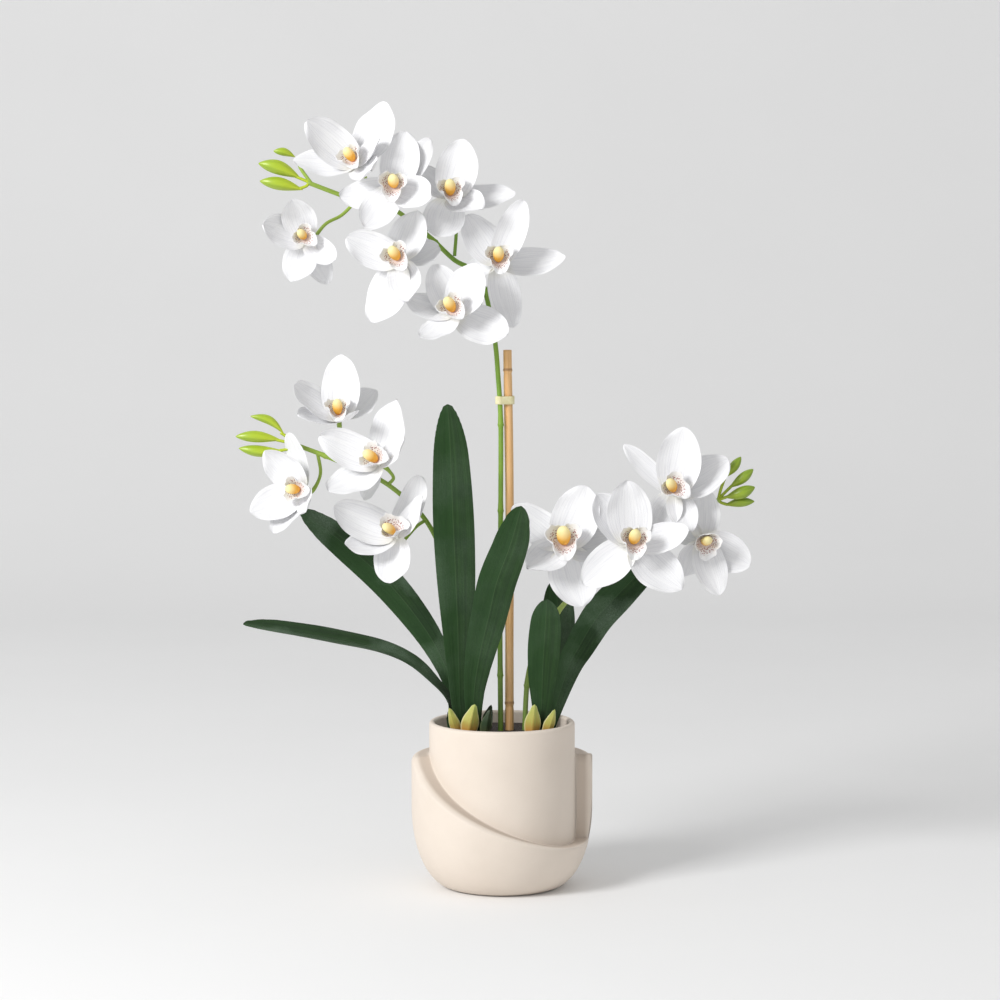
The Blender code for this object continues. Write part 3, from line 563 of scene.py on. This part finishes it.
# where the tepals join, the throat from there, the lip's size, the way its long lobe hangs,
# and the five tips from there with a width
FLOWERS = (
    ((-106, -14, 536), (-9, -14, 12), 1.0, (0.6, -0.2, -1),
     ((23, 4, 44, 34), (-35, -14, 31, 27), (-46, -4, 3, 24), (13, -32, -6, 22), (17, -18, 18, 17))),
    ((-78, -26, 518), (-1, -14, 5), 1.1, (-0.1, 0, -1),
     ((8, 8, 42, 26), (26, 8, 36, 18), (27, -20, -5, 24), (-22, -14, -27, 24), (-40, 4, -6, 22))),
    ((-38, -12, 511), (1, -14, 11), 1.1, (0.2, 0, -1),
     ((11, -3, 43, 28), (-21, 14, 22, 20), (48, 8, 5, 20), (23, -22, -7, 24), (-9, -8, -28, 28))),
    ((-143, -16, 481), (-2, -14, 5), 0.9, (0.7, 0, -0.5),
     ((-30, -18, 12, 23), (-9, -18, 29, 23), (-9, -14, -31, 23), (16, 2, -32, 18), (22, -20, -16, 18))),
    ((-74, -28, 465), (-5, -14, 8), 1.1, (0.5, 0, -0.8),
     ((-39, 0, 18, 26), (12, 12, 37, 28), (28, 14, 12, 22), (-20, -8, -44, 29), (7, -18, -28, 23))),
    ((-34, -30, 427), (-5, -14, 11), 1.1, (0.6, 0, -0.8),
     ((18, -4, 36, 31), (-16, 10, 36, 24), (-36, 8, 12, 20), (-25, -20, -17, 22), (38, -6, -14, 29))),
    ((-3, -14, 463), (1, -14, 9), 1.1, (0.1, 0, -1),
     ((19, -5, 47, 21), (-23, 6, 36, 26), (-25, 12, -3, 20), (49, 12, 5, 22), (11, -2, -46, 22))),
    ((-120, -12, 350), (-1, -14, 18), 1.0, (0.1, 0, -1),
     ((3, -6, 47, 27), (-33, -10, 24, 26), (-29, -18, 5, 20), (14, -30, 7, 14), (27, 16, 20, 22))),
    ((-89, -24, 318), (-11, -14, 11), 1.1, (0.9, 0, -0.4),
     ((11, 6, 47, 30), (-44, -4, 21, 26), (-38, -12, -19, 32), (-14, 12, -27, 20), (18, -22, 20, 20))),
    ((-146, -18, 298), (-10, -14, 2), 1.0, (1, 0, -0.1),
     ((-27, -8, 30, 25), (-11, 2, 42, 18), (-38, -10, -16, 26), (-21, -14, -31, 22), (3, -30, -14, 18))),
    ((-78, -16, 264), (-5, -13, 10), 1.1, (0.9, 0, 0.2),
     ((-46, -4, 21, 28), (-37, -12, -6, 22), (19, -16, 30, 18), (19, 0, 44, 22), (-5, -12, -34, 26))),
    ((46, -20, 256), (-1, -14, 10), 1.4, (0.1, 0, -1),
     ((17, -2, 45, 33), (-38, 9, 30, 26), (-27, -16, -14, 27), (13, -8, -43, 33), (35, 2, 8, 34))),
    ((95, -34, 259), (2, -14, 7), 1.2, (0, 0, -1),
     ((-4, 0, 47, 31), (-26, 8, 36, 26), (41, -6, 12, 21), (36, -8, -32, 30), (-36, -6, -28, 27))),
    ((127, -14, 295), (-2, -14, 9), 1.1, (0.8, 0, -0.6),
     ((7, -4, 49, 30), (-37, 5, 36, 14), (40, 6, 24, 28), (-16, -11, -27, 23), (11, -16, -26, 20))),
    ((147, -14, 261), (4, -14, -2), 1.1, (0.1, 0, -1),
     ((2, 7, 38, 24), (36, 2, -19, 26), (13, -8, -40, 23), (-12, 10, -28, 22), (-24, 12, 12, 18))),
)


def unit(vector):
    """The vector at length one."""
    vector = np.asarray(vector, float)
    return vector / np.linalg.norm(vector)


def tepal(centre, facing, tip, width, rng):
    """One cupped petal on t from claw to tip and q round its thin section. Its width grows as a power of
    t and closes as a power towards the tip, its middle bows back as a sine, its sides rise as the square
    of the distance from the midrib, its margin has two waves, and the draws vary the cup, curl and roll."""
    length = np.linalg.norm(tip)
    ahead = tip / length
    up = unit(facing - ahead * (facing @ ahead))
    side = np.cross(ahead, up)
    t = np.sin(np.linspace(0, np.pi / 2, 40))[:, None] * 0.999
    q = np.linspace(0, 2 * np.pi, 41)[None]
    s = np.sign(np.cos(q)) * np.abs(np.cos(q)) ** 0.8
    share = 0.42 * (1 - t) ** 2 + (t / 0.56) ** 0.7 * (np.clip(1.005 - t, 0, 1) / 0.445) ** 0.6
    half = width / 2 * share
    one, two, three = rng.uniform(0, 6, 3)
    curl = 0.05 * length * np.clip((t - 0.75) / 0.25, 0, 1) ** 2 * rng.uniform(-1, 1)
    bow = -0.09 * length * np.sin(np.pi * t) - curl
    cup = rng.uniform(0.14, 0.42) * half * s ** 2
    keel = -0.35 * np.exp(-(s / 0.1) ** 2) * np.sin(np.pi * t)
    waves = 1.5 * np.sin(6 * t + one + 2 * s) + 0.8 * np.sin(14 * t + two - 3 * s)
    wave = waves * np.abs(s) ** 2.5 * t * (width / 25)
    roll = rng.uniform(-2.2, 2.2) * s * t * np.sin(three + 2 * t)
    thick = 0.22 * np.sin(q)
    start = centre + ahead * HEART_RADIUS * 0.4 * (1 - t)[:, :, None]
    high = bow + cup + keel + wave + roll + thick
    grid = close_ends(start + tip * t[:, :, None] + side * (s * half)[:, :, None] + up * high[:, :, None])
    ends = np.concatenate([t[:1], t, t[-1:]])
    uv = np.stack(np.broadcast_arrays((s + 1) / 2, ends), -1)
    return grid * mm, uv


def knob(centre, radius):
    """A ball: height and ring size go as the sine and cosine of one angle."""
    rise = np.linspace(-np.pi / 2, np.pi / 2, 13)[:, None]
    a = np.linspace(0, 2 * np.pi, 17)[None]
    ball = np.stack(np.broadcast_arrays(np.cos(rise) * np.cos(a), np.cos(rise) * np.sin(a), np.sin(rise)), -1)
    uv = np.stack(np.broadcast_arrays(a / (2 * np.pi), 0 * rise + 0.02), -1)
    return (centre + ball * radius) * mm, uv


white, tree, shader, spot, uv = new_look("petal_cloth")
split = wire(tree, "ShaderNodeSeparateXYZ", {0: uv}).outputs
vein = use_group(tree, VEINS, Vector=uv, Lines=30, Stretch=1.1, Waviness=0.5)
cloud = use_group(tree, CLOUDS, Vector=spot, Size=55, Grain_Size=2600)
cloth = blend(tree, vein["Soft"], (0.83, 0.83, 0.845, 1), (0.885, 0.885, 0.89, 1))
cloth = blend(tree, spread(tree, vein["Veins"], 0.5, 1, 0, 0.4), cloth, (0.66, 0.66, 0.70, 1))
cloth = blend(tree, spread(tree, split["Y"], 0.0, 0.22, 0.5, 0), cloth, (0.80, 0.78, 0.62, 1))
tree.links.new(cloth, shader.inputs["Base Color"])
tree.links.new(spread(tree, cloud["Clouds"], 0, 1, 0.62, 0.78), shader.inputs["Roughness"])
shader.inputs["Specular IOR Level"].default_value = 0.25
shader.inputs["Sheen Weight"].default_value = 0.15
ridge = wire(tree, "ShaderNodeMath", {0: vein["Veins"], 1: cloud["Grain"]}, operation="ADD").outputs[0]
raise_bumps(tree, shader, ridge, 0.35, 0.25 * mm)

rng = np.random.default_rng(11)
for number, (centre, throat, size, hang, tips) in enumerate(FLOWERS, 1):
    middle = np.array(centre, float)
    grids = [tepal(middle, unit(throat), np.array(tip, float), width, rng) for *tip, width in tips]
    grids.append(knob(middle, HEART_RADIUS))
    name = f"flower_{number:02d}"
    place_piece(skin(name + "_tepals", grids), white, "petal", name + "_petals")

# ---- Flowers: lip and column ------------------------------------------------------------------------------
# In front of the tepals a smaller pressed cloth cup, with a long ruffled lobe and two raised side lobes, is
# printed with dark red dots round its throat. A waxy yellow and orange column stands in it.


def lip_cup(centre, facing, hang, size, rng):
    """A cup on t from its foot to its margin and a round the throat. Its radius grows as a root of t and
    stretches in a bell round the long lobe's direction, with notches on both sides and an open back. Its
    depth rises with t, except that the long lobe curls down, and the margin ruffles as a sine of a."""
    down = unit(hang - facing * (np.asarray(hang) @ facing))
    side = np.cross(facing, down)
    t = np.concatenate([np.linspace(0, 1, 26), np.linspace(1, 0, 26)])[:, None]
    inner = np.concatenate([np.zeros(26), np.ones(26)])[:, None]
    a = np.linspace(-np.pi, np.pi, 97)[None]
    long = np.exp(-(a / 0.62) ** 2)
    wing = np.exp(-((np.abs(a) - 1.75) / 0.5) ** 2)
    notch = np.exp(-((np.abs(a) - 1.0) / 0.2) ** 2)
    back = np.exp(-((np.abs(a) - np.pi) / 0.5) ** 2)
    reach = 8.6 + 4.2 * long * t ** 2 + 1.3 * wing * t - 1.6 * notch * t ** 3 - 2.4 * back * t ** 2
    phase = rng.uniform(0, 6)
    ruffle = 0.55 * t ** 4 * np.sin(11 * a + phase) + 0.3 * t ** 4 * np.sin(17 * a + 2 * phase)
    radius = reach * t ** 0.62 + 0.3 * ruffle - 0.25 * inner * t ** 0.3
    depth = 0.4 + (10.5 - 2.5 * back) * t ** 1.5 - 6.5 * long * t ** 3 + ruffle + 0.25 * inner
    out = np.cos(a)[:, :, None] * down + np.sin(a)[:, :, None] * side
    base = centre + facing * (HEART_RADIUS + 0.6)
    grid = base + (radius[:, :, None] * out + depth[:, :, None] * facing) * size
    uv = np.stack(np.broadcast_arrays(a / (2 * np.pi) + 0.5, t * 0.96 + 0.02), -1)
    return grid * mm, uv


def column(centre, facing, hang, size):
    """A blunt, slightly bent peg: rings whose radius follows a long egg, along a line that bends away from
    the long lobe as the square of t. Its v runs from 1 to 2, so that it takes its own colours."""
    down = unit(hang - facing * (np.asarray(hang) @ facing))
    side = np.cross(facing, down)
    t = np.linspace(0, 1, 24)[:, None]
    a = np.linspace(-np.pi, np.pi, 33)[None]
    egg = np.sqrt(np.clip(1 - (2 * t - 1) ** 2, 0, 1)) * (0.85 + 0.5 * t)
    line = -down * 0.4 + facing * (12.5 * t)[:, :, None] - down * (3.0 * t ** 2)[:, :, None]
    out = np.cos(a)[:, :, None] * down * 0.95 + np.sin(a)[:, :, None] * side * 1.1
    grid = centre + facing * (HEART_RADIUS + 0.4) + (line + (3.0 * egg)[:, :, None] * out) * size
    uv = np.stack(np.broadcast_arrays(a / (2 * np.pi) + 0.5, 1.02 + 0.96 * t), -1)
    return grid * mm, uv


petal, tree, shader, spot, uv = new_look("lip_cloth")
split = wire(tree, "ShaderNodeSeparateXYZ", {0: uv}).outputs
vein = use_group(tree, VEINS, Vector=uv, Lines=60, Stretch=1.2, Waviness=0.3)
cup = blend(tree, vein["Soft"], (0.82, 0.82, 0.83, 1), (0.87, 0.87, 0.87, 1))
cup = blend(tree, spread(tree, split["Y"], 0.10, 0.55, 0.5, 0), cup, (0.88, 0.74, 0.72, 1))
scale = wire(tree, "ShaderNodeMapping", {0: uv, 3: (24, 11, 1)}).outputs[0]
dots = wire(tree, "ShaderNodeTexVoronoi", {"Vector": scale, "Scale": 1, "Randomness": 0.85},
            voronoi_dimensions="2D").outputs["Distance"]
inside = spread(tree, split["Y"], 0.26, 0.38)
edge = spread(tree, split["Y"], 0.66, 0.80, 1, 0)
band = product(tree, inside, edge)
dots = product(tree, spread(tree, dots, 0.22, 0.29, 1, 0), band)
cup = blend(tree, dots, cup, (0.24, 0.012, 0.03, 1))
under = distance_from(tree, split["X"], 0.5)
wax = blend(tree, spread(tree, under, 0.16, 0.34), (0.86, 0.44, 0.05, 1), (0.90, 0.76, 0.28, 1))
wax = blend(tree, spread(tree, split["Y"], 1.55, 1.95), wax, (0.93, 0.82, 0.42, 1))
wax = blend(tree, spread(tree, split["Y"], 1.08, 1.3, 0.9, 0), wax, (0.66, 0.20, 0.03, 1))
is_wax = wire(tree, "ShaderNodeMath", {0: split["Y"], 1: 1.0}, operation="GREATER_THAN").outputs[0]
tree.links.new(blend(tree, is_wax, cup, wax), shader.inputs["Base Color"])
tree.links.new(spread(tree, is_wax, 0, 1, 0.7, 0.42), shader.inputs["Roughness"])
shader.inputs["Specular IOR Level"].default_value = 0.35
raise_bumps(tree, shader, vein["Veins"], 0.3, 0.2 * mm)

rng = np.random.default_rng(23)
for number, (centre, throat, size, hang, _) in enumerate(FLOWERS, 1):
    middle, facing = np.array(centre, float), unit(throat)
    grids = [lip_cup(middle, facing, hang, size, rng), column(middle, facing, hang, size)]
    name = f"flower_{number:02d}"
    place_piece(skin(name + "_cup", grids), petal, "lip", name + "_lip")

# ---- Stems ------------------------------------------------------------------------------------------------
# Three moulded green stems on wire cores, with a collar every few centimetres. Each flower's thinner stalk
# branches off and thickens into the green neck behind its flower.

STEM_RADIUS, STALK_RADIUS = 1.9 * mm, 1.3 * mm
# name: route, then each flower's stalk before it reaches the flower, the bud stalk, and the collars' heights
STEMS = {
    "flower_stem_top": (
        ((-1, -2, 80), (-1, -2, 117), (-1.5, -2, 197), (-1, -2, 284), (-1, -2, 347), (-3, -1, 382),
         (-5, -1, 405), (-9, 0, 428), (-14, 3, 448), (-22, 6, 459), (-35, 8, 466), (-49, 9, 479),
         (-63, 9, 491), (-83, 9, 505), (-105, 8, 509), (-122, 7, 515), (-143, 5, 523)),
        {1: ((-100, 8, 508), (-99, 6, 519)), 2: ((-80, 9, 504), (-77, 0, 509)),
         3: ((-35, 8, 469), (-34, 7, 490)), 4: ((-108, 8, 509), (-118, 3, 499), (-130, -4, 492)),
         5: ((-56, 9, 488), (-63, -2, 471)), 6: ((-13, 2, 444), (-20, -8, 425)),
         7: ((-12, 2, 443), (-6, 4, 452))},
        ((-140, 5, 522), (-148, 7, 533), (-150, 8, 539)), (158, 281, 345, 420, 479, 508)),
    "flower_stem_left": (
        ((-19, 2, 80), (-19, 2, 116), (-24, 2, 150), (-30, 2, 184), (-41, 0, 237), (-49, -1, 261),
         (-61, -2, 280), (-78, -4, 296), (-95, -5, 307), (-127, -8, 321), (-150, -10, 330)),
        {8: ((-112, -6, 316), (-117, -4, 327)), 9: ((-84, -4, 301), (-80, -9, 306)),
         10: ((-136, -9, 325), (-134, -6, 309)), 11: ((-57, -2, 274), (-64, -3, 269))},
        (), (150, 215, 290, 322)),
    "flower_stem_right": (
        ((17, 2, 80), (17, 2, 116), (19, 4, 154), (25, 5, 176), (37, 6, 198), (49, 6, 214),
         (73, 6, 240), (106, 4, 268), (132, 2, 283), (161, 0, 289)),
        {12: ((58, 6, 226), (52, 0, 240)), 13: ((88, 5, 254), (92, -8, 254)),
         14: ((120, 3, 278), (127, 3, 283)), 15: ((138, 1, 285), (142, 4, 273))},
        (), (150, 205, 262)),
}


def stem_rod(route, collars):
    """A rod that narrows slowly towards its end, with a narrow bell of extra radius at each collar."""
    line = smooth_path(route, 1.2)
    share = np.linspace(0, 1, len(line))
    radius = STEM_RADIUS * (1.04 - 0.16 * share)
    for height in collars:
        at = np.abs(line[:, 2] - height * mm).argmin()
        off = (np.arange(len(line)) - at) * 1.2
        radius = radius + mm * (0.5 * np.exp(-(off / 1.1) ** 2) + 0.2 * np.exp(-((off - 2.5) / 3) ** 2))
    return rod(line, radius)


def stalk_rod(approach, centre, throat):
    """The stalk bends in behind its flower. Its radius doubles over the last third, as the flower's neck."""
    facing = unit(throat)
    back, end = np.array(centre) - facing * 11, np.array(centre) - facing * (HEART_RADIUS - 0.8)
    line = smooth_path([*approach, back, end], 1.0)
    share = np.linspace(0, 1, len(line))
    radius = STALK_RADIUS * (1 + 0.55 * np.clip((share - 0.45) / 0.4, 0, 1) ** 2 - 0.1 * share)
    return rod(line, radius, 16, (0.3, 0.2, 1))


stalk_green, tree, shader, spot, uv = new_look("stem_plastic")
vein = use_group(tree, VEINS, Vector=uv, Lines=18, Stretch=3, Waviness=0.3)
cloud = use_group(tree, CLOUDS, Vector=spot, Size=38, Grain_Size=800)
split = wire(tree, "ShaderNodeSeparateXYZ", {0: spot}).outputs
stalk = blend(tree, cloud["Clouds"], (0.13, 0.27, 0.025, 1), (0.24, 0.40, 0.035, 1))
stalk = blend(tree, spread(tree, split["Z"], 0.25, 0.14, 0, 0.5), stalk, (0.05, 0.095, 0.025, 1))
stalk = blend(tree, spread(tree, split["X"], 0.012, 0.030, 0, 0.7), stalk, (0.40, 0.50, 0.12, 1))
stalk = blend(tree, spread(tree, split["X"], -0.040, -0.10, 0, 0.6), stalk, (0.36, 0.48, 0.07, 1))
stalk = blend(tree, spread(tree, vein["Veins"], 0.5, 1, 0, 0.3), stalk, (0.22, 0.30, 0.08, 1))
tree.links.new(stalk, shader.inputs["Base Color"])
tree.links.new(spread(tree, cloud["Clouds"], 0, 1, 0.38, 0.52), shader.inputs["Roughness"])
raise_bumps(tree, shader, vein["Veins"], 0.3, 0.2 * mm)

for name, (route, stalks, bud_stalk, collars) in STEMS.items():
    grids = [stem_rod(route, collars)]
    grids += [stalk_rod(approach, *FLOWERS[number - 1][:2]) for number, approach in stalks.items()]
    if bud_stalk:
        grids.append(rod(smooth_path(bud_stalk), STALK_RADIUS, 16))
    place_piece(skin(name.replace("flower_stem", "spray_stem"), grids), stalk_green, "stem", name)

# ---- Buds -------------------------------------------------------------------------------------------------
# Closed buds in glossy yellow-green plastic at the end of each spray, darker on top, with three shallow
# seams where the sepals meet. Each but bud_top_1 is glued to a short stalk of its own.

# name: base, tip, width, and how far the middle is bowed up
BUDS = {
    "bud_top_1": ((-152, 8, 541.5), (-168, 4, 546), 6, 1.5),
    "bud_top_2": ((-148, 5, 526), (-179, 2, 537), 10.5, 2),
    "bud_top_3": ((-146, 3, 517.5), (-178, 1, 524), 9.5, 1),
    "bud_left_1": ((-160, -10, 338), (-185, -13, 352), 6.5, 4),
    "bud_left_2": ((-162, -11, 334), (-196, -13, 337), 8.5, 1.2),
    "bud_left_3": ((-160, -9, 326), (-194, -9, 328), 8.5, -1.2),
    "bud_right_1": ((164, 1, 305), (177, 2, 321), 7, 0.5),
    "bud_right_2": ((168, 0, 298), (186, 0, 312), 7.5, 0.5),
    "bud_right_3": ((164.5, -3, 291), (187, -4, 299), 9, 0.8),
    "bud_right_4": ((164.5, 2, 285), (187, 0, 288), 7, -0.6),
}
# where the bud stalks start on their stems
BUD_ROOTS = {"top": (-142, 5, 523), "left": (-149, -10, 330), "right": (160, 0, 289)}


def bud_shape(base, tip, width, bow):
    """Rings along a slightly bowed line. The radius is a sine of a power of t, fuller towards the tip, and
    is notched in three narrow grooves that fade out at both ends."""
    base, tip = np.array(base, float), np.array(tip, float)
    ahead = unit(tip - base)
    side = unit(np.cross(ahead, (0, 1, 0)))
    up = np.cross(side, ahead)
    t = np.linspace(0, 1, 40)[:, None]
    a = np.linspace(0, 2 * np.pi, 61)[None]
    egg = np.sin(np.pi * t ** 1.25) ** 0.75
    groove = 1 - 0.07 * np.exp(-(((a - 0.6) % (2 * np.pi / 3) - np.pi / 3) / 0.14) ** 2) * np.sin(np.pi * t)
    line = base + (tip - base) * t[:, :, None] + side * (-bow * np.sin(np.pi * t))[:, :, None]
    out = np.cos(a)[:, :, None] * side + np.sin(a)[:, :, None] * up
    grid = line + (width / 2 * egg * groove)[:, :, None] * out
    uv = np.stack(np.broadcast_arrays(a / (2 * np.pi), t), -1)
    return grid * mm, uv


bud_green, tree, shader, spot, uv = new_look("bud_plastic")
split = wire(tree, "ShaderNodeSeparateXYZ", {0: uv}).outputs
vein = use_group(tree, VEINS, Vector=uv, Lines=14, Stretch=1.2, Waviness=0.3)
tint = blend(tree, spread(tree, split["Y"], 0.0, 0.8), (0.56, 0.66, 0.03, 1), (0.34, 0.48, 0.03, 1))
tint = blend(tree, spread(tree, vein["Soft"], 0.35, 0.9, 0, 0.7), tint, (0.15, 0.25, 0.015, 1))
tint = blend(tree, spread(tree, vein["Veins"], 0.5, 1, 0, 0.3), tint, (0.52, 0.58, 0.12, 1))
across = wire(tree, "ShaderNodeSeparateXYZ", {0: spot}).outputs["X"]
tint = blend(tree, spread(tree, across, 0.15, 0.17, 0, 0.5), tint, (0.13, 0.22, 0.02, 1))
tree.links.new(tint, shader.inputs["Base Color"])
tree.links.new(spread(tree, vein["Soft"], 0, 1, 0.26, 0.42), shader.inputs["Roughness"])
raise_bumps(tree, shader, vein["Veins"], 0.25, 0.2 * mm)

for name, (base, tip, width, bow) in BUDS.items():
    root = BUD_ROOTS["top" if "top" in name else "left" if "left" in name else "right"]
    into = np.array(base) + (np.array(tip) - base) * 0.12
    grids = [bud_shape(base, tip, width, bow)]
    if name != "bud_top_1":
        grids.append(rod(smooth_path([root, (np.array(root) + base) / 2, into], 1.0), 1.15 * mm, 14))
    place_piece(skin(name.replace("bud", "spray_bud"), grids), bud_green, "bud", name)

# ---- Stage, light and camera ------------------------------------------------------------------------------
# A pale seamless sweep under and behind the plant, a large soft light from the front left, a weaker one
# from the right, and an even white room.


def sweep_sheet():
    """A strip from the front to the back that turns up in a quarter circle behind the object."""
    turn = np.linspace(0, np.pi / 2, 24)
    y = np.concatenate([[-4.0], 1.6 + 1.2 * np.sin(turn), [2.8]])
    z = np.concatenate([[0.0], 1.2 - 1.2 * np.cos(turn), [5.0]])
    x = np.array([[-5.0, 5.0]])
    grid = np.stack(np.broadcast_arrays(x, y[:, None], z[:, None]), -1)
    return grid, np.stack(np.broadcast_arrays(x / 10, y[:, None] / 10), -1)


paper, tree, shader, spot, _ = new_look("sweep_paper")
cloud = use_group(tree, CLOUDS, Vector=spot, Size=3, Grain_Size=300)
grey = blend(tree, cloud["Clouds"], (0.885, 0.885, 0.885, 1), (0.90, 0.90, 0.90, 1))
tree.links.new(grey, shader.inputs["Base Color"])
shader.inputs["Roughness"].default_value = 0.9
sweep = skin("sweep", [sweep_sheet()])
sweep.data.materials.append(paper)
if sweep.data.polygons[0].normal.z < 0:
    sweep.data.flip_normals()

for name, place, aim, size, power in (("key", (-1.8, -1.7, 1.5), (0, 0, 0.25), 0.9, 57),
                                      ("fill", (1.9, -1.4, 1.1), (0, 0, 0.25), 1.6, 1)):
    lamp = bpy.data.lights.new(name, "AREA")
    lamp.size = size
    lamp.energy = power
    holder = bpy.data.objects.new(name, lamp)
    bpy.context.scene.collection.objects.link(holder)
    holder.location = place
    toward = unit(np.array(aim) - place)
    holder.rotation_euler = (math.acos(-toward[2]), 0, math.atan2(toward[1], toward[0]) - math.pi / 2)

world = bpy.data.worlds.new("room")
world.use_nodes = True
world.node_tree.nodes["Background"].inputs["Color"].default_value = (1, 1, 1, 1)
world.node_tree.nodes["Background"].inputs["Strength"].default_value = 0.58
bpy.context.scene.world = world
bpy.context.scene.view_settings.view_transform = "Standard"

camera = bpy.data.cameras.new("camera")
camera.lens = 112.25
camera.sensor_width = 36
view = bpy.data.objects.new("camera", camera)
bpy.context.scene.collection.objects.link(view)
view.location = (-0.0015, -2.3, 0.489)
view.rotation_euler = (math.radians(85.03), 0, 0)
bpy.context.scene.camera = view
